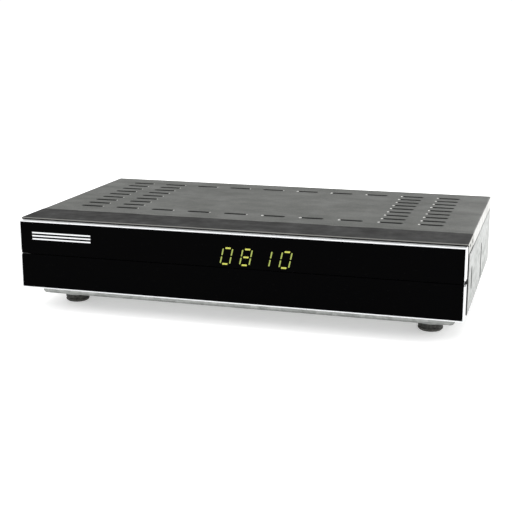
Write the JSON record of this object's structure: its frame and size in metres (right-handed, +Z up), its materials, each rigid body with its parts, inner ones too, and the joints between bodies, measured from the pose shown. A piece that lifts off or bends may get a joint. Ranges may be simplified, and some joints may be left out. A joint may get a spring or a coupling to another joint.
{
  "type": "set-top hard-disk recorder",
  "caption": "Low black set-top video recorder: slotted dark metal cover, gloss front with lit clock digits and fold-down flap, silver sunken base on rubber feet.",
  "frame": {"origin": "on the standing surface, at the middle of the outline in width and depth, rear connectors included", "axes": "+X to the right seen from the front, +Y to the back, +Z up"},
  "size_m": [0.28, 0.17, 0.06],
  "materials": {
    "cover_paint": "satin fine texture",
    "zinc_steel": "zinc coated",
    "bezel_black": "satin",
    "trim_silver": "silver lacquer",
    "gloss_black": "high gloss",
    "plated_steel": "bright plated",
    "dark_plastic": "moulded",
    "rubber": "matt",
    "display_glow": "lit yellow-green",
    "display_housing": "moulded",
    "board_green": "solder mask",
    "board_tan": "phenolic",
    "lamp_lens": "clear moulded",
    "button_grey": "satin",
    "brass": "turned",
    "chip_black": "moulded",
    "black_aluminium": "anodised",
    "capacitor_sleeve": "shrink sleeve",
    "tin_plate": "tin plated",
    "phono_plastic": "moulded",
    "transformer_core": "ferrite",
    "fuse_glass": "clear",
    "choke_winding": "enamelled copper",
    "cast_aluminium": "cast",
    "brushed_lid": "brushed",
    "platter_mirror": "polished",
    "ribbon_grey": "ribbon cable",
    "cable_red": "cable sheath",
    "wire_black": "wire sheath",
    "black_screw": "black oxide"
  },
  "bodies": {
    "case": {"aerial_connectors": "plated_steel", "base_tray": "zinc_steel", "board_capacitors": "capacitor_sleeve", "board_chips": "chip_black", "board_screws": "plated_steel", "board_standoffs": "brass", "button_switches": "dark_plastic", "card_reader": "dark_plastic", "ci_cage": "tin_plate", "cover_screws": "black_screw", "disk_base": "cast_aluminium", "disk_bracket": "zinc_steel", "disk_cable": "cable_red", "disk_lid": "brushed_lid", "disk_screws": "plated_steel", "display_module": "display_housing", "display_segments": "display_glow", "flap_magnet": "dark_plastic", "front_bezel": "bezel_black", "front_board": "board_green", "front_board_screws": "plated_steel", "front_ribbon": "ribbon_grey", "front_usb_socket": "tin_plate", "front_window": "gloss_black", "hdmi_socket": "tin_plate", "infrared_receiver": "dark_plastic", "main_board": "board_green", "mains_choke": "choke_winding", "mains_inlet": "dark_plastic", "mains_switch": "dark_plastic", "mains_wires": "wire_black", "network_socket": "tin_plate", "optical_socket": "dark_plastic", "phono_sockets": "phono_plastic", "power_board": "board_tan", "power_cable": "wire_black", "power_capacitors": "capacitor_sleeve", "power_fuse": "fuse_glass", "power_heat_sink": "black_aluminium", "processor_heat_sink": "black_aluminium", "rear_panel": "zinc_steel", "rubber_feet": "rubber", "scart_socket": "dark_plastic", "standby_lamp": "lamp_lens", "top_cover": "cover_paint", "transformer": "transformer_core", "trim_frame": "trim_silver", "tuner_cans": "tin_plate", "usb_socket": "tin_plate"},
    "flap": {"flap_frame": "trim_silver", "flap_panel": "gloss_black", "flap_striker": "plated_steel"},
    "power_button": {"power_button": "button_grey"},
    "channel_down_button": {"channel_down_button": "button_grey"},
    "channel_up_button": {"channel_up_button": "button_grey"},
    "eject_button": {"ci_eject_button": "button_grey"},
    "eject_lever": {"ci_eject_lever": "plated_steel"},
    "rocker": {"mains_rocker": "dark_plastic"},
    "platter": {"disk_platter": "platter_mirror"},
    "arm": {"disk_arm": "cast_aluminium"}
  },
  "joints": [
    {"name": "flap_hinge", "type": "hinge", "parent": "case", "child": "flap", "pos_m": [0, -0.08, 0.019], "axis": [1, 0, 0], "range_deg": [0, 90]},
    {"name": "power_button_press", "type": "slide", "parent": "case", "child": "power_button", "axis": [0, 1, 0], "range_m": [0, 0.0008], "stiffness_N_per_m": 500, "springref_m": -0.001},
    {"name": "channel_down_button_press", "type": "slide", "parent": "case", "child": "channel_down_button", "axis": [0, 1, 0], "range_m": [0, 0.0008], "stiffness_N_per_m": 500, "springref_m": -0.001},
    {"name": "channel_up_button_press", "type": "slide", "parent": "case", "child": "channel_up_button", "axis": [0, 1, 0], "range_m": [0, 0.0008], "stiffness_N_per_m": 500, "springref_m": -0.001},
    {"name": "eject_push", "type": "slide", "parent": "case", "child": "eject_button", "axis": [0, 1, 0], "range_m": [0, 0.006]},
    {"name": "eject_lever_swing", "type": "hinge", "parent": "case", "child": "eject_lever", "pos_m": [0.0965, -0.0125, 0.0348], "axis": [0, 0, 1], "range_deg": [0, 29]},
    {"name": "rocker_switch", "type": "hinge", "parent": "case", "child": "rocker", "pos_m": [-0.085, 0.07, 0.029], "axis": [1, 0, 0], "range_deg": [0, 16]},
    {"name": "platter_spin", "type": "hinge", "parent": "case", "child": "platter", "pos_m": [-0.031, -0.019, 0.0387], "axis": [0, 0, 1], "continuous": true},
    {"name": "arm_swing", "type": "hinge", "parent": "case", "child": "arm", "pos_m": [0.014, -0.042, 0.0395], "axis": [0, 0, 1], "range_deg": [0, 21]}
  ],
  "couplings": [
    {"joint": "eject_lever_swing", "follows": "eject_push", "rad_per_m": 83.333}
  ]
}
